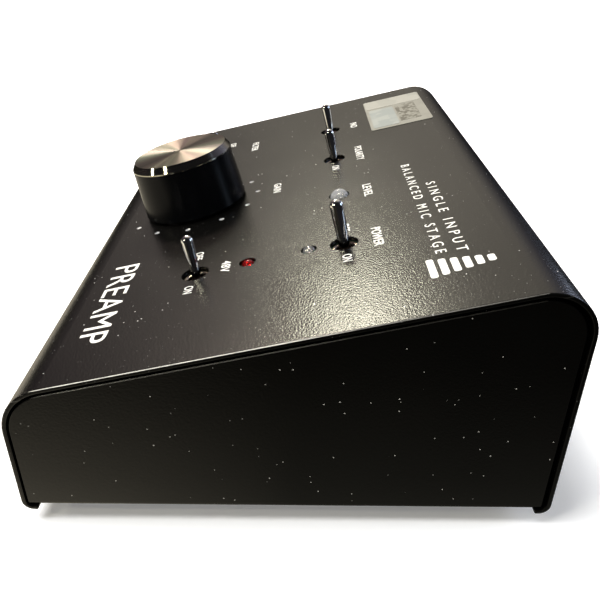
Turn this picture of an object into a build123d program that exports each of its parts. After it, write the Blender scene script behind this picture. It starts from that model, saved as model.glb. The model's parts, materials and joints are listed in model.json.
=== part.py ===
from build123d import *
from math import atan, cos, radians, sin, sqrt, tan
import os

# Desktop microphone preamp: a sloping sheet-metal case with a gain knob, five toggle
# switches and three indicator lamps on top, and two XLR connectors and a power jack behind.
#
# Frame: +X is the unit's right, +Y its rear (the high side), +Z up. The origin is on the
# surface that the feet stand on, under the middle of the unit's bounding box. Millimetres.

os.makedirs("parts", exist_ok=True)

# ---- driving dimensions ----

# case: the side profile's corners are where its straight sides would meet
case_width = 160.0
case_depth = 110.0
front_height = 29.3
rear_height = 55.4
front_bend = 11.0
rear_bend = 9.4
hem_bend = 2.4
hem_length = 3.2
hem_tip = 0.4
cover_sheet = 0.9
edge_round = 0.3
tray_sheet = 1.2
tray_groove = 0.75
tray_forward = 0.3
tray_bend = 1.5
tray_corner = 2.0
tray_trim, tray_skim = 0.5, 0.02
tray_edge_round = 0.2
end_inset = 0.2
foot_height = 3.9
foot_radius = 6.35
foot_taper = 0.8
foot_round = 0.6
tab_x, tab_width, tab_length = 60.0, 12.0, 9.6
foot_x, foot_y = 64.0, 34.0

# fasteners
m3_radius = 1.5
thread_radius = 1.55
m3_clearance = 1.65
screw_head_radius = 2.75
screw_head_height = 1.8
screw_head_round = 0.7
board_screw_length, long_screw_length = 5.0, 6.0
cross_recess, cross_length, cross_width = 1.0, 2.8, 0.6
nut_across = 5.5
nut_height = 2.4

# places on the sloping panel: x to the right, v up the slope from its middle
knob_x, knob_v = -1.4, -28.0
toggles = {
    "phantom": (44.2, -22.0),
    "power": (44.3, 12.5),
    "polarity": (-14.8, 12.9),
    "pad": (-45.0, 12.9),
    "filter": (-43.0, -26.0),
}
phantom_led_at = (43.8, -9.7)
power_led_at = (43.8, 4.5)
level_led_at = (15.0, 12.9)
label_x, label_v = -52.0, 36.0
label_width, label_height = 36.0, 19.8
label_thickness, label_corner = 0.15, 1.0

# gain control
knob_gap = 1.0
knob_base_radius = 14.5
knob_rim_radius = 13.9
knob_rim_height = 14.3
cap_radius = 12.8
cap_edge = 0.3
cap_height = 16.3
pointer_start, pointer_width, pointer_depth = 2.4, 1.1, 0.45
knob_wall = 2.4
boss_radius = 5.5
boss_base = 3.6
web_height = 11.0
shaft_radius = 3.0
running_gap = 0.05
shaft_top, shaft_chamfer, shaft_gap = 12.2, 0.5, 0.2
pot_thread, pot_play = 3.5, 0.2
pointer_angle = 30.0
set_screw_height = 8.0
set_screw_socket, set_screw_solid, set_screw_bite = 0.75, 0.8, 0.5
gain_dots = 11
dot_start, dot_range = -60, 300
dot_circle = 18.1
dot_radius = 0.7
dot_depth = 0.35

# indicator lamps, heights above the panel face
small_led, small_flange, small_body = 1.5, 1.9, 5.3
large_led, large_flange, large_body = 2.5, 2.9, 8.6
power_flange = 1.85
flange_height = 1.0
phantom_led_top, power_led_top, level_led_top = 0.5, 0.8, 1.6
phantom_led_hole, power_led_hole, level_led_hole = 2.0, 1.9, 2.75
lead_spread, lead_radius, lead_clearance, lead_end = 1.27, 0.25, 0.15, 1.2

# toggle switches, heights above the panel face
toggle_hole = 3.25
bushing_radius = 3.1
bushing_bore = 2.2
bushing_top = -1.0
bushing_length, bushing_chamfer = 4.8, 0.25
lever_pivot = -3.0
lever_ball = 2.1
lever_neck, lever_tip, lever_length = 1.05, 1.4, 11.8
power_neck, power_tip, power_length = 1.25, 1.55, 12.8
lever_tail_radius = 0.9
lever_tail = 5.4
lever_tilt = 13.0
switch_length = 13.0
switch_width = 8.0
switch_height = 9.0
switch_wall, switch_corner, switch_mouth = 1.3, 0.5, 0.25
terminal_pitch = 4.7
terminal_radius = 0.6
terminal_clearance = 0.1
terminal_end = 1.5

# boards
board_thickness, board_corner = 1.6, 2.0
control_board_half = 66.0
control_board_front = -40.0
control_board_rear = 21.0
panel_standoff_radius = 2.5
main_standoff = 4.6
main_board_half = 70.0
main_board_front = -46.0
main_board_rear = 51.0

# rear connectors: x is the unit's own x
input_x, output_x, jack_x = -40.0, 4.0, 52.0
xlr_z = 30.0
xlr_width, xlr_height = 26.0, 31.0
xlr_flange = 2.0
xlr_barrel = 11.8
xlr_cutout = 12.0
xlr_screw_x, xlr_screw_z = 9.5, 12.0
xlr_pin_circle = 3.9
xlr_pin_radius = 1.2
jack_hole, jack_gap, jack_lift = 4.2, 0.2, 6.5
latch_proud = 3.2

# ---- derived places ----

slope = atan((rear_height - front_height) / case_depth)
lip_z = foot_height - cover_sheet
rear_proud = xlr_flange + screw_head_height
case_y = -rear_proud / 2
rear_y = case_y + case_depth / 2
tray_z = lip_z + cover_sheet
tray_top = tray_z + tray_sheet
tray_height = 2 * rear_height
main_z = tray_top + main_standoff
main_top = main_z + board_thickness
jack_z = main_top + jack_lift
housing_top = bushing_top - bushing_length
control_top = housing_top - switch_height
control_under = control_top - board_thickness

panel = Plane(
    origin=(0, case_y, lip_z + (front_height + rear_height) / 2),
    x_dir=(1, 0, 0),
    z_dir=(0, -sin(slope), cos(slope)),
)
rear_wall = Plane(origin=(0, rear_y, 0), x_dir=(-1, 0, 0), z_dir=(0, 1, 0))
front_view = Plane(origin=(0, case_y, 0), x_dir=(1, 0, 0), z_dir=(0, -1, 0))


def save(builder, name):
    """Label a finished piece and write it as a STEP file."""
    builder.part.label = name
    export_step(builder.part, f"parts/{name}.step")


def outline(inset, base):
    """Corners of the case's side profile (y, z), moved in by inset, standing at height base."""
    front = case_y - case_depth / 2 + inset
    rear = case_y + case_depth / 2 - inset
    drop = inset / cos(slope)
    front_top = lip_z + front_height + inset * tan(slope) - drop
    rear_top = lip_z + rear_height - inset * tan(slope) - drop
    return [(front, base), (front, front_top), (rear, rear_top), (rear, base)]


def side_profile(inset, base, corner, mode=Mode.ADD):
    """Filled side profile inside a sketch that looks along X; corner is its bottom bends' radius."""
    bends = [corner, front_bend - inset, rear_bend - inset, corner]
    with BuildLine() as profile:
        FilletPolyline(*outline(inset, base), radius=bends, close=True)
    make_face(profile.edges(), mode=mode)


def above_panel(x, v, h=0.0):
    """Plane parallel to the sloping panel, centred over (x, v) and h above its face."""
    return Plane(origin=panel.from_local_coords((x, v, h)), x_dir=(1, 0, 0), z_dir=panel.z_dir)


def section_at(x, v):
    """Plane standing on the panel at (x, v): its own x is +X and its own y is out of the panel."""
    return Plane(origin=panel.from_local_coords((x, v, 0)), x_dir=(1, 0, 0), z_dir=-panel.y_dir)


def panel_axis(x, v):
    """Axis out of the panel at (x, v)."""
    return Axis(panel.from_local_coords((x, v, 0)), panel.z_dir)


def tube_profile(inner, outer, low, high, mode=Mode.ADD):
    """Rectangle from radius inner to outer and height low to high, for revolving."""
    with Locations(((inner + outer) / 2, (low + high) / 2)):
        Rectangle(outer - inner, high - low, mode=mode)


# ---- case ----

case_screw_y = case_depth / 2 - hem_bend - tab_length / 2
case_screw_places = [(x, y) for x in (-tab_x, tab_x) for y in (-case_screw_y, case_screw_y)]
panel_standoff_places = [(x, v) for x in (-62.0, 62.0) for v in (-36.0, 17.0)]
main_standoff_places = [(x, y) for x in (-64.0, 64.0) for y in (-40.0, 28.0)]
xlr_screw_places = [
    (-x + side * xlr_screw_x, xlr_z - side * xlr_screw_z)
    for x in (input_x, output_x)
    for side in (-1, 1)
]

with BuildPart() as top_cover:
    with BuildSketch(Plane.YZ) as cover_side:
        side_profile(0, lip_z, hem_bend)
        side_profile(cover_sheet, tray_z, hem_bend - cover_sheet, mode=Mode.SUBTRACT)
        # opening underneath, which leaves two short hems with rounded tips
        with Locations((case_y, lip_z)):
            Rectangle(case_depth - 2 * hem_length, 3 * cover_sheet, mode=Mode.SUBTRACT)
        for side in (-1, 1):
            tip = case_y + side * (case_depth / 2 - hem_length)
            corners = cover_side.vertices().filter_by_position(Axis.X, tip - 0.01, tip + 0.01)
            fillet(corners, hem_tip)
    extrude(amount=case_width / 2, both=True)
    # softened edges round both open ends
    for end in (0, -1):
        fillet(top_cover.faces().sort_by(Axis.X)[end].edges(), edge_round)
    # four screw tabs that carry on from the hems
    with BuildSketch(Plane(origin=(0, case_y, lip_z))):
        with Locations(*case_screw_places):
            Rectangle(tab_width, tab_length)
    extrude(amount=cover_sheet)
    with BuildSketch(Plane(origin=(0, case_y, lip_z))):
        with Locations(*case_screw_places):
            Circle(m3_clearance)
    extrude(amount=cover_sheet, mode=Mode.SUBTRACT)
    # panel holes
    with BuildSketch(panel):
        with Locations(*toggles.values()):
            Circle(toggle_hole)
        with Locations((knob_x, knob_v)):
            Circle(pot_thread + pot_play)
        with Locations(phantom_led_at):
            Circle(phantom_led_hole)
        with Locations(power_led_at):
            Circle(power_led_hole)
        with Locations(level_led_at):
            Circle(level_led_hole)
    extrude(amount=-cover_sheet, mode=Mode.SUBTRACT)
    # the gain scale's dimples, drilled through the paint
    ball = (dot_radius**2 + dot_depth**2) / (2 * dot_depth)
    with Locations(above_panel(knob_x, knob_v, ball - dot_depth)):
        with PolarLocations(dot_circle, gain_dots, dot_start, dot_range, endpoint=True):
            Sphere(ball, mode=Mode.SUBTRACT)
    # rear cut-outs
    with BuildSketch(rear_wall):
        with Locations((-input_x, xlr_z), (-output_x, xlr_z)):
            Circle(xlr_cutout)
        with Locations(*xlr_screw_places):
            Circle(m3_clearance)
        with Locations((-jack_x, jack_z)):
            Circle(jack_hole)
    extrude(amount=-cover_sheet, mode=Mode.SUBTRACT)
save(top_cover, "top_cover")

tray_half = case_width / 2 - end_inset

with BuildPart() as base_tray:
    # the end panels' outline follows the cover's profile, inside its thickness and a narrow groove
    left_end = Plane(origin=(-tray_half, -tray_forward, 0), x_dir=(0, 1, 0), z_dir=(1, 0, 0))
    with BuildSketch(left_end):
        side_profile(cover_sheet + tray_groove, tray_z - tray_trim, tray_corner)
    extrude(amount=2 * tray_half)
    for end in (0, -1):
        fillet(base_tray.faces().sort_by(Axis.X)[end].edges(), tray_edge_round)
    # sheet bent up at both ends
    with BuildSketch(front_view.offset(-case_depth / 2)):
        for half, base, bend, mode in (
            (tray_half + tray_skim, tray_z, tray_bend, Mode.ADD),
            (tray_half - tray_sheet, tray_top, tray_bend - tray_sheet, Mode.SUBTRACT),
        ):
            with BuildLine() as bent_sheet:
                corners = [(-half, tray_height), (-half, base), (half, base), (half, tray_height)]
                FilletPolyline(*corners, radius=bend)
                Line(corners[-1], corners[0])
            make_face(bent_sheet.edges(), mode=mode)
    extrude(amount=case_depth, mode=Mode.INTERSECT)
    with BuildSketch(Plane(origin=(0, case_y, tray_z))):
        with Locations(*case_screw_places):
            Circle(m3_clearance)
    extrude(amount=tray_sheet, mode=Mode.SUBTRACT)
save(base_tray, "base_tray")

for side, x in (("left", -foot_x), ("right", foot_x)):
    for end, y in (("front", -foot_y), ("rear", foot_y)):
        with BuildPart() as foot:
            with BuildSketch(Plane(origin=(x, case_y + y, 0))):
                Circle(foot_radius - foot_taper)
            with BuildSketch(Plane(origin=(x, case_y + y, foot_height))):
                Circle(foot_radius)
            loft()
            fillet(foot.edges().group_by(Axis.Z)[0], foot_round)
        save(foot, f"{end}_{side}_foot")


def pan_screw(axis_point, into, length):
    """M3 pan head screw with a cross recess; its head's seat is at axis_point, its shank goes into."""
    seat = Plane(origin=axis_point, z_dir=into)
    with BuildPart() as screw:
        with BuildSketch(seat):
            Circle(screw_head_radius)
        extrude(amount=-screw_head_height)
        head_rim = screw.edges().filter_by(GeomType.CIRCLE).sort_by(Axis(axis_point, into))[0]
        fillet(head_rim, screw_head_round)
        with BuildSketch(seat.offset(-screw_head_height)):
            Rectangle(cross_length, cross_width)
            Rectangle(cross_width, cross_length)
        extrude(amount=cross_recess, mode=Mode.SUBTRACT)
        with BuildSketch(seat):
            Circle(m3_radius)
        extrude(amount=length)
    return screw.part


def hex_nut(seat):
    """M3 nut that stands on the seat plane."""
    with BuildPart() as nut:
        with BuildSketch(seat):
            RegularPolygon(nut_across / 2, 6, major_radius=False)
            Circle(thread_radius, mode=Mode.SUBTRACT)
        extrude(amount=nut_height)
    return nut.part


def save_group(pieces, name):
    """Write separate solids, such as identical fasteners, as one node."""
    group = Compound(children=list(pieces), label=name)
    export_step(group, f"parts/{name}.step")


save_group(
    [pan_screw((x, case_y + y, lip_z), (0, 0, 1), board_screw_length) for x, y in case_screw_places],
    "case_screws",
)

# ---- control board, hung from the panel ----

pot_body_radius, pot_body_height = 8.5, 8.0
pot_pin_pitch, pot_pin_forward = 5.0, 7.0
pot_top = control_top + pot_body_height
pot_pin_places = [(knob_x + step * pot_pin_pitch, knob_v - pot_pin_forward) for step in (-1, 0, 1)]
switch_pin_places = [
    (x + step * terminal_pitch, v) for x, v in toggles.values() for step in (-1, 0, 1)
]
lamp_lead_places = [
    (x + side * lead_spread, v)
    for x, v in (phantom_led_at, power_led_at, level_led_at)
    for side in (-1, 1)
]

with BuildPart() as control_board:
    with BuildSketch(above_panel(0, (control_board_front + control_board_rear) / 2, control_under)):
        RectangleRounded(2 * control_board_half, control_board_rear - control_board_front, board_corner)
    extrude(amount=board_thickness)
    with BuildSketch(above_panel(0, 0, control_under)):
        with Locations(*panel_standoff_places):
            Circle(m3_clearance)
        with Locations(*switch_pin_places, *pot_pin_places):
            Circle(terminal_radius + terminal_clearance)
        with Locations(*lamp_lead_places):
            Circle(lead_radius + lead_clearance)
    extrude(amount=board_thickness, mode=Mode.SUBTRACT)
save(control_board, "control_board")

with BuildPart() as panel_standoffs:
    with BuildSketch(above_panel(0, 0, control_top)):
        with Locations(*panel_standoff_places):
            Circle(panel_standoff_radius)
            Circle(thread_radius, mode=Mode.SUBTRACT)
    extrude(amount=-control_top - cover_sheet)
save(panel_standoffs, "panel_standoffs")

# ---- gain control: heights are above the panel face ----

pot_cavity, pot_lid = 7.2, 0.9
pot_floor = control_top + 1.2
pot_shoulder_radius, pot_shoulder_height = 5.0, 1.0
washer_radius, washer_thickness = 5.8, 0.5
pot_nut_half, pot_nut_height = 5.0, 2.0
bushing_above_nut = 0.5
bushing_end = washer_thickness + pot_nut_height + bushing_above_nut
rotor_radius = 6.2
rotor_low, rotor_high = control_top + 3.0, control_top + 4.4
gain_section = section_at(knob_x, knob_v)
gain_axis = panel_axis(knob_x, knob_v)

with BuildPart() as pot_body:
    with BuildSketch(gain_section):
        tube_profile(0, pot_body_radius, control_top, pot_top)
        tube_profile(0, pot_cavity, pot_floor, pot_top - pot_lid, mode=Mode.SUBTRACT)
        tube_profile(0, shaft_radius + running_gap, pot_floor, pot_top, mode=Mode.SUBTRACT)
    revolve(axis=gain_axis)
save(pot_body, "pot_body")

with BuildPart() as pot_bushing:
    with BuildSketch(gain_section):
        tube_profile(shaft_radius + running_gap, pot_thread, pot_top, bushing_end)
        tube_profile(shaft_radius + running_gap, pot_shoulder_radius, pot_top, pot_top + pot_shoulder_height)
    revolve(axis=gain_axis)
save(pot_bushing, "pot_bushing")

with BuildPart() as pot_washer:
    with BuildSketch(gain_section):
        tube_profile(pot_thread + running_gap, washer_radius, 0, washer_thickness)
    revolve(axis=gain_axis)
save(pot_washer, "pot_washer")

with BuildPart() as pot_nut:
    with BuildSketch(above_panel(knob_x, knob_v, washer_thickness)):
        RegularPolygon(pot_nut_half, 6, major_radius=False)
        Circle(pot_thread + running_gap, mode=Mode.SUBTRACT)
    extrude(amount=pot_nut_height)
save(pot_nut, "pot_nut")

with BuildPart() as pot_terminals:
    with BuildSketch(above_panel(0, 0, control_top)):
        with Locations(*pot_pin_places):
            Circle(terminal_radius)
    extrude(amount=-board_thickness - terminal_end)
save(pot_terminals, "pot_terminals")

with BuildPart() as pot_shaft:
    with BuildSketch(gain_section):
        tube_profile(0, shaft_radius, rotor_low, shaft_top)
        tube_profile(0, rotor_radius, rotor_low, rotor_high)
    revolve(axis=gain_axis)
    chamfer(pot_shaft.faces().sort_by(gain_axis)[-1].edges(), shaft_chamfer)
save(pot_shaft, "pot_shaft")

# plane across the knob, normal to the pointer's direction, at the set screw's height
pointer_out = (
    -sin(radians(pointer_angle)),
    -cos(radians(pointer_angle)) * cos(slope),
    -cos(radians(pointer_angle)) * sin(slope),
)
set_screw_plane = Plane(
    origin=panel.from_local_coords((knob_x, knob_v, set_screw_height)), z_dir=pointer_out
)

with BuildPart() as gain_knob_body:
    with BuildSketch(gain_section):
        with BuildLine():
            Polyline(
                (shaft_radius, boss_base),
                (boss_radius, boss_base),
                (boss_radius, web_height),
                (knob_base_radius - knob_wall, web_height),
                (knob_base_radius - knob_wall, knob_gap),
                (knob_base_radius, knob_gap),
                (knob_rim_radius, knob_rim_height),
                (0, knob_rim_height),
                (0, shaft_top + shaft_gap),
                (shaft_radius, shaft_top + shaft_gap),
                close=True,
            )
        make_face()
    revolve(axis=gain_axis)
    # set screw: threaded through the boss, reached through a hole in the skirt
    with BuildSketch(set_screw_plane.offset(shaft_radius - set_screw_bite)):
        Circle(m3_radius)
    extrude(amount=knob_base_radius, mode=Mode.SUBTRACT)
save(gain_knob_body, "gain_knob_body")

with BuildPart() as knob_set_screw:
    with BuildSketch(set_screw_plane.offset(shaft_radius)):
        Circle(m3_radius)
        RegularPolygon(set_screw_socket, 6, mode=Mode.SUBTRACT)
    extrude(amount=boss_radius - shaft_radius)
    with BuildSketch(set_screw_plane.offset(shaft_radius)):
        Circle(m3_radius)
    extrude(amount=set_screw_solid)
save(knob_set_screw, "knob_set_screw")

with BuildPart() as gain_knob_cap:
    with BuildSketch(gain_section):
        with BuildLine():
            Polyline(
                (0, knob_rim_height),
                (knob_rim_radius, knob_rim_height),
                (knob_rim_radius, knob_rim_height + cap_edge),
                (cap_radius, cap_height),
                (0, cap_height),
                close=True,
            )
        make_face()
    revolve(axis=gain_axis)
    # pointer line, cut from near the middle to the edge
    cap_centre = panel.from_local_coords((knob_x, knob_v, cap_height))
    with BuildSketch(Plane(origin=cap_centre, x_dir=pointer_out, z_dir=panel.z_dir)):
        with Locations((pointer_start + knob_rim_radius / 2, 0)):
            SlotOverall(knob_rim_radius, pointer_width)
    extrude(amount=-pointer_depth, mode=Mode.SUBTRACT)
save(gain_knob_cap, "gain_knob_cap")

# ---- toggle switches ----


def bat_lever(x, v, neck, tip, length):
    """Bat handle, its pivot ball and its tail, leaning to the left about its pivot."""
    lean = radians(lever_tilt)
    across = Vector(cos(lean), 0, 0) + panel.z_dir * sin(lean)
    pivot = panel.from_local_coords((x, v, lever_pivot))
    lever_plane = Plane(origin=pivot, x_dir=across, z_dir=-panel.y_dir)
    neck_low = sqrt(lever_ball**2 - lever_tail_radius**2)
    neck_high = sqrt(lever_ball**2 - neck**2)
    tip_centre = length - tip
    with BuildPart() as lever:
        with BuildSketch(lever_plane):
            with BuildLine():
                Line((0, -lever_tail), (lever_tail_radius, -lever_tail))
                Line((lever_tail_radius, -lever_tail), (lever_tail_radius, -neck_low))
                ThreePointArc((lever_tail_radius, -neck_low), (lever_ball, 0), (neck, neck_high))
                Line((neck, neck_high), (tip, tip_centre))
                ThreePointArc(
                    (tip, tip_centre),
                    (tip * sin(radians(45)), tip_centre + tip * cos(radians(45))),
                    (0, length),
                )
                Line((0, length), (0, -lever_tail))
            make_face()
        revolve(axis=Axis(pivot, lever_plane.y_dir))
    return lever


def switch_bushing(x, v):
    """Threaded bushing whose rim stands just behind the panel hole."""
    with BuildPart() as bushing:
        with BuildSketch(section_at(x, v)):
            tube_profile(bushing_bore, bushing_radius, housing_top, bushing_top)
        revolve(axis=panel_axis(x, v))
        rim = bushing.faces().sort_by(panel_axis(x, v))[-1]
        chamfer(rim.edges(), bushing_chamfer)
    return bushing


def switch_housing(x, v):
    """Switch body, hollow for the lever's tail."""
    with BuildPart() as housing:
        with BuildSketch(above_panel(x, v, control_top)):
            Rectangle(switch_length, switch_width)
        extrude(amount=switch_height)
        fillet(housing.edges().filter_by(Axis(panel.origin, panel.z_dir)), switch_corner)
        with BuildSketch(above_panel(x, v, control_top + switch_wall)):
            Rectangle(switch_length - 2 * switch_wall, switch_width - 2 * switch_wall)
        extrude(amount=switch_height - 2 * switch_wall, mode=Mode.SUBTRACT)
        with BuildSketch(above_panel(x, v, housing_top)):
            Circle(bushing_bore + switch_mouth)
        extrude(amount=-switch_wall, mode=Mode.SUBTRACT)
    return housing


for switch, (x, v) in toggles.items():
    if switch == "power":
        lever = bat_lever(x, v, power_neck, power_tip, power_length)
    else:
        lever = bat_lever(x, v, lever_neck, lever_tip, lever_length)
    save(lever, f"{switch}_lever")
    save(switch_bushing(x, v), f"{switch}_switch_bushing")
    save(switch_housing(x, v), f"{switch}_switch_housing")

with BuildPart() as switch_terminals:
    with BuildSketch(above_panel(0, 0, control_top)):
        with Locations(*switch_pin_places):
            Circle(terminal_radius)
    extrude(amount=-board_thickness - terminal_end)
save(switch_terminals, "switch_terminals")

# ---- indicator lamps ----


def led(x, v, radius, flange, top, body):
    """Domed indicator lamp with its flange; top is the dome's height above the panel face."""
    shoulder = top - radius
    flange_top = top - body + flange_height
    with BuildPart() as lamp:
        with BuildSketch(section_at(x, v)):
            with BuildLine():
                Line((0, top - body), (flange, top - body))
                Line((flange, top - body), (flange, flange_top))
                Line((flange, flange_top), (radius, flange_top))
                Line((radius, flange_top), (radius, shoulder))
                ThreePointArc(
                    (radius, shoulder),
                    (radius * cos(radians(45)), shoulder + radius * sin(radians(45))),
                    (0, top),
                )
                Line((0, top), (0, top - body))
            make_face()
        revolve(axis=panel_axis(x, v))
    return lamp


save(led(*phantom_led_at, small_led, small_flange, phantom_led_top, small_body), "phantom_led")
save(led(*power_led_at, small_led, power_flange, power_led_top, small_body), "power_led")
save(led(*level_led_at, large_led, large_flange, level_led_top, large_body), "level_led")

lamp_bases = [
    (phantom_led_at, phantom_led_top - small_body),
    (power_led_at, power_led_top - small_body),
    (level_led_at, level_led_top - large_body),
]
with BuildPart() as led_leads:
    for (x, v), base in lamp_bases:
        with BuildSketch(above_panel(x, v, base)):
            with Locations((-lead_spread, 0), (lead_spread, 0)):
                Circle(lead_radius)
        extrude(amount=control_under - lead_end - base)
save(led_leads, "led_leads")

with BuildPart() as serial_label:
    with BuildSketch(above_panel(label_x, label_v)):
        RectangleRounded(label_width, label_height, label_corner)
    extrude(amount=label_thickness)
save(serial_label, "serial_label")

# ---- main board on the tray ----

jack_depth = 13.0
jack_width, jack_height = 9.0, 11.0
xlr_leg_radius = 0.45
input_leg_y = rear_y - 24.0
output_leg_y = rear_y - 21.0


def xlr_pin_places(x):
    """Three contact places on an XLR connector, seen on the rear wall's plane."""
    return [
        (-x + xlr_pin_circle * cos(radians(angle)), xlr_z + xlr_pin_circle * sin(radians(angle)))
        for angle in (35, 145, 270)
    ]


pin_pitch = 2.54
leg_end = 1.2
sink_x, sink_y, sink_height = 50.0, 8.0, 14.0
sink_width, sink_plate, fin_pitch, fin_width, fin_length = 16.0, 2.0, 3.6, 1.2, 7.0
regulator_width, regulator_tall, regulator_depth, regulator_lift = 10.0, 9.0, 4.4, 3.1
regulator_leg_forward, regulator_leg_end, regulator_leg_hole = 3.6, 1.0, 0.6
regulator_leg_places = [
    (sink_x + step * pin_pitch, case_y + sink_y - regulator_leg_forward) for step in (-1, 0, 1)
]
capacitor_places = [(x, 4.0) for x in (-8.0, 4.0, 16.0, 28.0)]
capacitor_radius, capacitor_height, capacitor_round = 5.0, 12.5, 0.8
chip_places = [(x, -14.0) for x in (-30.0, -12.0, 6.0)]
chip_length, chip_width, chip_height, chip_lift = 9.8, 6.4, 3.3, 0.5
chip_leg_rows, chip_leg_height = 7.4, 2.2
relay_places = [(-50.0, 8.0), (-36.0, 8.0)]
relay_width, relay_length, relay_height, relay_round = 9.0, 14.0, 5.6, 0.4
xlr_leg_places = [(-px, input_leg_y) for px, pz in xlr_pin_places(input_x)]
xlr_leg_places += [(-px, output_leg_y) for px, pz in xlr_pin_places(output_x)]

with BuildPart() as main_board:
    board_middle = case_y + (main_board_front + main_board_rear) / 2
    with BuildSketch(Plane(origin=(0, board_middle, main_z))):
        RectangleRounded(2 * main_board_half, main_board_rear - main_board_front, board_corner)
    extrude(amount=board_thickness)
    with BuildSketch(Plane(origin=(0, case_y, main_z))):
        with Locations(*main_standoff_places):
            Circle(m3_clearance)
    extrude(amount=board_thickness, mode=Mode.SUBTRACT)
    with BuildSketch(Plane.XY.offset(main_z)):
        with Locations(*xlr_leg_places):
            Circle(xlr_leg_radius + lead_clearance)
        with Locations(*regulator_leg_places):
            Circle(regulator_leg_hole)
    extrude(amount=board_thickness, mode=Mode.SUBTRACT)
save(main_board, "main_board")

with BuildPart() as board_standoffs:
    with BuildSketch(Plane(origin=(0, case_y, tray_top))):
        with Locations(*main_standoff_places):
            RegularPolygon(nut_across / 2, 6, major_radius=False)
            Circle(thread_radius, mode=Mode.SUBTRACT)
    extrude(amount=main_standoff)
save(board_standoffs, "board_standoffs")

into_panel = tuple(panel.z_dir)
save_group(
    [
        pan_screw((x, case_y + y, main_top), (0, 0, -1), board_screw_length)
        for x, y in main_standoff_places
    ]
    + [
        pan_screw(tuple(panel.from_local_coords((x, v, control_under))), into_panel, long_screw_length)
        for x, v in panel_standoff_places
    ],
    "board_screws",
)

with BuildPart() as electrolytic_capacitors:
    with BuildSketch(Plane(origin=(0, case_y, main_top))):
        with Locations(*capacitor_places):
            Circle(capacitor_radius)
    extrude(amount=capacitor_height)
    fillet(electrolytic_capacitors.faces().group_by(Axis.Z)[-1].edges(), capacitor_round)
save(electrolytic_capacitors, "electrolytic_capacitors")

with BuildPart() as amplifier_chips:
    with BuildSketch(Plane(origin=(0, case_y, main_top + chip_lift))):
        with Locations(*chip_places):
            Rectangle(chip_length, chip_width)
    extrude(amount=chip_height)
    with BuildSketch(Plane(origin=(0, case_y, main_top))):
        with Locations(*chip_places):
            with GridLocations(pin_pitch, chip_leg_rows, 4, 2):
                Rectangle(0.5, 1.2)
    extrude(amount=chip_leg_height)
save(amplifier_chips, "amplifier_chips")

with BuildPart() as relays:
    with BuildSketch(Plane(origin=(0, case_y, main_top))):
        with Locations(*relay_places):
            Rectangle(relay_width, relay_length)
    extrude(amount=relay_height)
    fillet(relays.faces().group_by(Axis.Z)[-1].edges(), relay_round)
save(relays, "relays")

with BuildPart() as heat_sink:
    with BuildSketch(Plane(origin=(sink_x, case_y + sink_y, main_top))):
        Rectangle(sink_width, sink_plate)
        with Locations(*[(step * fin_pitch, (sink_plate / 2 + fin_length) / 2) for step in range(-2, 3)]):
            Rectangle(fin_width, fin_length)
    extrude(amount=sink_height)
save(heat_sink, "heat_sink")

with BuildPart() as voltage_regulator:
    back_middle = (sink_x, case_y + sink_y - sink_plate / 2, main_top + regulator_lift + regulator_tall / 2)
    with BuildSketch(Plane(origin=back_middle, x_dir=(1, 0, 0), z_dir=(0, -1, 0))):
        Rectangle(regulator_width, regulator_tall)
    extrude(amount=regulator_depth)
    with BuildSketch(Plane.XY.offset(main_z - regulator_leg_end)):
        with Locations(*regulator_leg_places):
            Rectangle(0.8, 0.5)
    extrude(amount=regulator_leg_end + board_thickness + regulator_lift + 0.1)
save(voltage_regulator, "voltage_regulator")

# flat ribbon cable that joins the boards, with a socket at each end
ribbon_x, ribbon_width, ribbon_sheet, ribbon_bend = -58.0, 12.7, 1.0, 1.2
socket_height, socket_depth, socket_extra = 6.0, 5.0, 1.6
cable_rise = 4.0
lower_socket_y = 22.0
upper_socket_v = 2.0
upper_plane = above_panel(ribbon_x, upper_socket_v, control_under)
upper_end = panel.from_local_coords((ribbon_x, upper_socket_v, control_under - socket_height))
lower_end_y = case_y + lower_socket_y
cable_level = main_top + socket_height + cable_rise

with BuildPart() as ribbon_sockets:
    with BuildSketch(Plane(origin=(ribbon_x, lower_end_y, main_top))):
        Rectangle(ribbon_width + socket_extra, socket_depth)
    extrude(amount=socket_height)
    with BuildSketch(upper_plane):
        Rectangle(ribbon_width + socket_extra, socket_depth)
    extrude(amount=-socket_height)
save(ribbon_sockets, "ribbon_sockets")

with BuildPart() as ribbon_cable:
    with BuildSketch(Plane.YZ.offset(ribbon_x - ribbon_width / 2)):
        with BuildLine():
            FilletPolyline(
                (lower_end_y, main_top + socket_height),
                (lower_end_y, cable_level),
                (upper_end.Y + (cable_level - upper_end.Z) * -tan(slope), cable_level),
                (upper_end.Y, upper_end.Z),
                radius=ribbon_bend,
            )
        trace(line_width=ribbon_sheet)
    extrude(amount=ribbon_width)
save(ribbon_cable, "ribbon_cable")

# ---- rear connectors: heights out of the rear wall's face ----

input_recess, output_recess = 9.6, 8.2
insert_radius = 7.9
input_depth, output_depth = 15.0, 14.0
barrel_end = -20.0
latch_width, latch_low, latch_high = 4.8, 9.8, 11.1
latch_gap, latch_reach, latch_sheet = 0.15, 12.0, 1.2
key_low, key_back, key_width, key_length = 9.2, -7.0, 3.0, 2.0
key_bury = 0.2
latch_tab_width, latch_tab_top, latch_tab_corner = 9.0, 14.9, 0.8
notch_floor, notch_low, notch_gap = 0.4, 9.0, 0.3
flange_corner, flange_round = 2.5, 0.6
contact_radius, contact_bore, contact_bore_depth, contact_recess = 1.25, 0.95, 11.0, 0.8
insert_proud, insert_round = 0.6, 0.5
pin_recess, pin_round = 1.5, 0.9
leg_overlap = 0.5
jack_rim_proud, jack_mouth, jack_mouth_depth = 0.4, 3.1, 11.0
jack_pin_radius, jack_pin_round, jack_pin_tail = 1.05, 0.6, 0.5


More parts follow.
